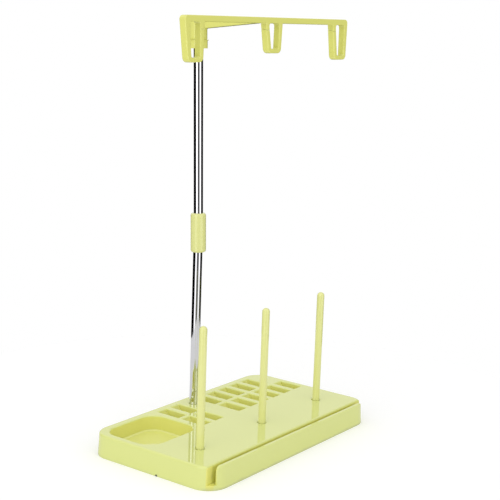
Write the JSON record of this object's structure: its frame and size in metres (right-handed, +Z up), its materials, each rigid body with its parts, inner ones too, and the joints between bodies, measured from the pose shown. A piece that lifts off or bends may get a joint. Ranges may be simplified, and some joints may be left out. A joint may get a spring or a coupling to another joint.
{
  "type": "thread spool stand",
  "caption": "Free-standing thread spool stand: tray base with bobbin wells and spool pins, and a jointed tube mast with an arm of thread guides.",
  "frame": {"origin": "middle of the base's underside, on the table", "axes": "+X along the length of the base to the right, +Y towards the mast at the back, +Z up"},
  "size_m": [0.229, 0.129, 0.3578],
  "materials": {
    "base_plastic": "glossy moulded lime yellow plastic",
    "fittings_plastic": "glossy moulded lime yellow plastic",
    "mast_chrome": "bright plated tube"
  },
  "bodies": {
    "root": {"base_moulding": "base_plastic", "spool_pin_left": "fittings_plastic", "spool_pin_middle": "fittings_plastic", "spool_pin_right": "fittings_plastic", "lower_tube": "mast_chrome", "tube_sleeve": "fittings_plastic", "upper_tube": "mast_chrome", "arm_collar": "fittings_plastic", "guide_arm": "fittings_plastic"}
  },
  "joints": []
}
